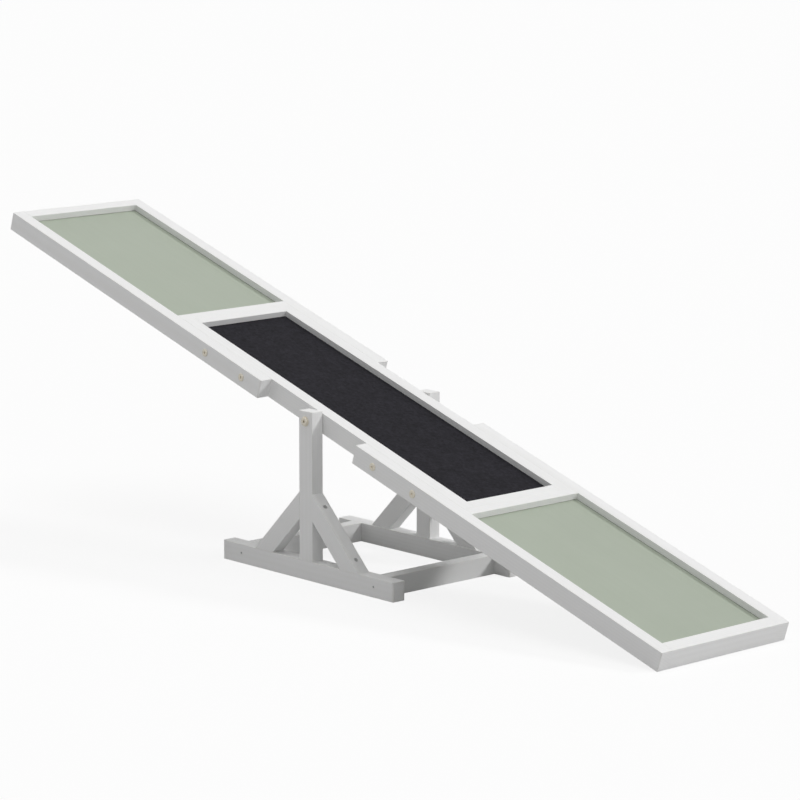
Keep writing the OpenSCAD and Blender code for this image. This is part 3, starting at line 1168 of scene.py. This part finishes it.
@dataclass
class Stand:
    """Trestle: two feet with a braced post on each, tied by two stretchers."""

    sizes: SeesawSizes
    foot_depth: float = 0.035
    foot_length: float = 0.458
    foot_corner: float = 0.0035
    post_width: float = 0.035
    post_rise: float = 0.018
    brace_width: float = 0.035
    brace_reach: float = 0.140
    brace_angle: float = math.radians(45)
    stretcher_thickness: float = 0.026
    stretcher_inset: float = 0.038
    bush_radius: float = 0.006
    flange_radius: float = 0.010
    bush_rim: float = 0.0003
    screw_back: float = 0.029
    screw_sink: float = 0.010
    stretcher_screw_height: float = 0.019
    post_screw_half_gap: float = 0.008
    post_screw_sink: float = 0.001
    stretcher_screw: WoodScrew = WoodScrew(0.060, 0.001)
    brace_screw: WoodScrew = WoodScrew(0.038, 0.011)
    post_screw: WoodScrew = WoodScrew(0.070, 0.003)

    @property
    def brace_length(self) -> float:
        """Length of a brace's outer face."""
        return (self.brace_reach - self.post_width / 2) / math.cos(self.brace_angle)

    @property
    def stretcher_x(self) -> float:
        """Distance from the middle to the stretchers' middles."""
        return self.foot_length / 2 - self.stretcher_inset - self.stretcher_thickness / 2

    def screw_sets(self) -> list[tuple[str, WoodScrew, list[Matrix]]]:
        """Lays out all the screws. Those of the braces are square to the slopes and sunk below them.

        Returns:
            Kind, screw and places of each set.
        """
        s, angle, (ties, braces, posts) = self.sizes, self.brace_angle, ([], [], [])
        for q, e in [(side.value, end.value) for side in Side for end in End]:
            tie = shifted(e * self.stretcher_x, q * s.post_out_y, self.stretcher_screw_height)
            ties.append(tie @ rotated(-90 * q, "X"))
            post = shifted(e * self.post_screw_half_gap, q * s.stand_y, self.post_screw_sink)
            posts.append(post @ rotated(180, "X"))
            for down in (self.screw_back, self.brace_length - self.screw_back):
                x = e * (self.post_width / 2 + down * math.cos(angle))
                z = self.foot_depth + (self.brace_length - down) * math.sin(angle)
                slope = shifted(x, q * s.stand_y, z) @ Matrix.Rotation(e * angle, 4, "Y")
                braces.append(slope @ shifted(0, 0, -self.screw_sink))
        return [
            ("stretcher", self.stretcher_screw, ties), ("brace", self.brace_screw, braces),
            ("post", self.post_screw, posts),
        ]

    def finish_timber(self, piece: Piece, node: str, grain: Grain, place: Matrix = HERE) -> None:
        """Drills a timber for the screws that meet it, and hands it over.

        Args:
            piece: The timber.
            node: Node that it stands for.
            grain: Direction of its grain in its level position.
            place: Its place, if it was modelled and marked elsewhere.
        """
        for _, screw, places in self.screw_sets():
            screw.drill(piece, self.sizes.fit, places)
        if ARRIS not in piece.data.attributes:
            mark_arrises(piece)
        hand_over(piece, node, Body.STAND, WHITE_PAINT, grain, place)

    def foot(self, side: Side) -> None:
        """Models one foot, rounded at its ends.

        Args:
            side: Side of the stand.
        """
        s, q, half = self.sizes, side.value, self.foot_length / 2
        piece = timber(
            f"foot_{side.word}", (-half, q * s.foot_in_y, 0), (half, q * s.post_out_y, self.foot_depth),
            lambda middle, along: self.foot_corner if runs(along, Z) else s.eased, 4,
        )
        self.finish_timber(piece, f"{side.word}_foot", Grain.ALONG)

    def post(self, side: Side) -> None:
        """Models one post, square at the foot and bored for its bush.

        Args:
            side: Side of the stand.
        """
        s, q, half, low = self.sizes, side.value, self.post_width / 2, self.foot_depth
        piece = timber(
            f"post_{side.word}",
            (-half, q * s.post_in_y, low), (half, q * s.post_out_y, s.pivot_height + self.post_rise),
            lambda middle, along: 0.0 if middle.z < low + TINY else s.eased,
        )
        axis = (0, q * s.stand_y, s.pivot_height)
        cut(piece, cross_rod(self.bush_radius + s.fit, s.stand_thickness, axis, 48))
        self.finish_timber(piece, f"{side.word}_post", Grain.UPRIGHT)

    def brace(self, side: Side, end: End) -> None:
        """Models one brace: a sloping timber sawn to the post and to the foot.

        Args:
            side: Side of the stand.
            end: End to which the brace runs.
        """
        s, q, e, spare = self.sizes, side.value, end.value, 2 * self.brace_width

        def radius_at(middle: Vector, along: Vector) -> float:
            """Rounds the long edges, the outer ones more."""
            radius = s.eased if abs(middle.x) < TINY else s.joint_eased
            return radius if runs(along, Z) else 0.0

        piece = timber(
            f"brace_{side.word}_{end.word}", (-e * self.brace_width, q * s.post_in_y, -spare),
            (0, q * s.post_out_y, self.brace_length + spare), radius_at,
        )
        mark_arrises(piece)
        lean = Matrix.Rotation(e * (self.brace_angle - math.pi / 2), 4, "Y")
        put(piece, shifted(e * self.brace_reach, 0, self.foot_depth) @ lean)
        saw_off(piece, (e * self.post_width / 2, 0, 0), (e, 0, 0))
        saw_off(piece, (0, 0, self.foot_depth), (0, 0, 1))
        self.finish_timber(piece, f"{side.word}_{end.word}_brace", Grain.UPRIGHT, lean)

    def stretcher(self, end: End) -> None:
        """Models one stretcher between the feet.

        Args:
            end: End of the stand.
        """
        s, x, half = self.sizes, end.value * self.stretcher_x, self.stretcher_thickness / 2
        piece = timber(
            f"stretcher_{end.word}", (x - half, -s.foot_in_y, 0), (x + half, s.foot_in_y, self.foot_depth),
            lambda middle, along: s.eased if runs(along, Y) else 0.0,
        )
        self.finish_timber(piece, f"{end.word}_stretcher", Grain.ACROSS)

    def screws(self) -> None:
        """Sets all the screws. The timbers' paint runs over the heads of those in the stretchers."""
        face = -2 * self.stretcher_screw.rim
        for kind, screw, places in self.screw_sets():
            model = screw.model()
            if kind == "stretcher":
                mark_faces(model, PAINTED, lambda middle, normal: middle.z > face and normal.z > 0.5)
            screws = repeat(f"{kind}_screw_set", model, places)
            hand_over(screws, f"{kind}_screws", Body.STAND, DARK_STEEL, Grain.UPRIGHT)

    def bushes(self) -> None:
        """Sets the flanged bushes in which the pivot bolts turn."""
        s, radius, wide, rim = self.sizes, self.bush_radius, self.flange_radius, self.bush_rim
        flange = s.post_gap - s.end_play
        end = flange + s.stand_thickness
        bush = turned([
            (wide - rim, 0), (wide, rim), (wide, flange - rim), (wide - rim, flange), (radius, flange),
            (radius, end - rim), (radius - rim, end),
        ])
        cut(bush, rod(s.pivot_radius + s.fit, -OVERCUT, end + OVERCUT, sides=48))
        places = [
            shifted(0, q.value * (s.post_in_y - flange), s.pivot_height) @ rotated(-90 * q.value, "X")
            for q in Side
        ]
        bushes = repeat("pivot_bush_set", bush, places)
        hand_over(bushes, "pivot_bushes", Body.STAND, NYLON, Grain.ACROSS)

    def build(self) -> None:
        """Builds the whole stand."""
        for side in Side:
            self.foot(side)
            self.post(side)
            for end in End:
                self.brace(side, end)
        for end in End:
            self.stretcher(end)
        self.screws()
        self.bushes()


# ---- studio


@dataclass(frozen=True)
class Lamp:
    """Distant soft light."""

    name: str
    strength: float
    toward: Point
    spread: float

    def hang(self) -> None:
        """Hangs the lamp in the scene."""
        data = bpy.data.lights.new(self.name, "SUN")
        data.energy, data.angle = self.strength, math.radians(self.spread)
        lamp = bpy.data.objects.new(self.name, data)
        bpy.context.scene.collection.objects.link(lamp)
        lamp.rotation_mode = "QUATERNION"
        lamp.rotation_quaternion = Vector(self.toward).to_track_quat("Z", "Y")


@dataclass(frozen=True)
class Studio:
    """Pale floor, soft light and the camera."""

    camera_place: Point = (4.616966, -4.154112, 1.457866)
    camera_axes: tuple[Point, ...] = (
        (0.675008, 0.737810, 0.001106), (-0.135377, 0.122381, 0.983207), (0.725285, -0.663822, 0.182490)
    )
    lens: float = 159.362
    sensor: float = 36.0
    clip: Pair = (0.1, 200.0)
    floor_size: float = 60.0
    floor_colour: Colour = (0.60, 0.60, 0.60)
    paper_colour: Colour = (0.97, 0.97, 0.97)
    floor_glow: float = 0.85
    wall_glow: float = 0.973
    ambient: float = 0.13
    lamps: tuple[Lamp, ...] = (
        Lamp("key", 1.41, (0.566, 0.600, 0.566), 12.0),
        Lamp("top", 1.24, (0.0, 0.0, 1.0), 50.0),
        Lamp("left_front", 0.54, (-0.69, -0.69, 0.20), 50.0),
        Lamp("right", 0.21, (0.94, 0.0, 0.342), 60.0),
        Lamp("right_front", 0.30, (0.664, -0.664, 0.342), 60.0),
    )

    def camera(self) -> None:
        """Sets the camera at the view of the photograph."""
        data = bpy.data.cameras.new("camera")
        data.sensor_width, data.lens = self.sensor, self.lens
        data.clip_start, data.clip_end = self.clip
        camera = bpy.data.objects.new("camera", data)
        bpy.context.scene.collection.objects.link(camera)
        turn = Matrix(self.camera_axes).transposed()
        camera.matrix_world = shifted(*self.camera_place) @ turn.to_4x4()
        bpy.context.scene.camera = camera

    def floor(self) -> None:
        """Lays the floor, whose colour is near white to the camera and keeps the seesaw's shadow."""
        bpy.ops.object.select_all(action="DESELECT")
        bpy.ops.mesh.primitive_plane_add(size=self.floor_size)
        floor = named("studio_floor")
        board = NodeBoard(bpy.data.materials.new("studio_floor"))
        board.tree.nodes.clear()
        matt, paper = (
            board.node("ShaderNodeBsdfDiffuse", {"Color": (*colour, 1.0)}).outputs[0]
            for colour in (self.floor_colour, self.paper_colour)
        )
        glow = board.node("ShaderNodeEmission", {"Color": WHITE, "Strength": 1.0}).outputs[0]
        seen = board.node("ShaderNodeLightPath").outputs["Is Camera Ray"]
        surface = board.blend(seen, matt, board.blend(self.floor_glow, paper, glow))
        board.node("ShaderNodeOutputMaterial", {"Surface": surface})
        floor.data.materials.append(board.owner)

    def world(self) -> None:
        """Fills the room with even light, and shows the floor's white behind it."""
        bpy.context.scene.world = bpy.data.worlds.new("studio")
        board = NodeBoard(bpy.context.scene.world)
        board.tree.nodes.clear()
        fill, white = (
            board.node("ShaderNodeBackground", {"Color": WHITE, "Strength": strength}).outputs[0]
            for strength in (self.ambient, self.wall_glow)
        )
        rays = board.node("ShaderNodeLightPath").outputs
        seen = board.math("MAXIMUM", rays["Is Camera Ray"], rays["Is Glossy Ray"])
        seen = board.math("MAXIMUM", seen, rays["Is Transmission Ray"])
        board.node("ShaderNodeOutputWorld", {"Surface": board.blend(seen, fill, white)})

    def build(self) -> None:
        """Sets up the whole studio."""
        self.camera()
        self.floor()
        for lamp in self.lamps:
            lamp.hang()
        self.world()
        bpy.context.scene.view_settings.view_transform = "Standard"


def main() -> None:
    """Builds the studio, the plank and the stand."""
    logging.basicConfig(level=logging.INFO, format="%(name)s: %(message)s")
    sizes = SeesawSizes()
    Studio().build()
    for end in End:
        EndFrame(sizes, end).build()
    CentreFrame(sizes).build()
    PlankHardware(sizes).build()
    Stand(sizes).build()


if __name__ == "__main__":
    main()
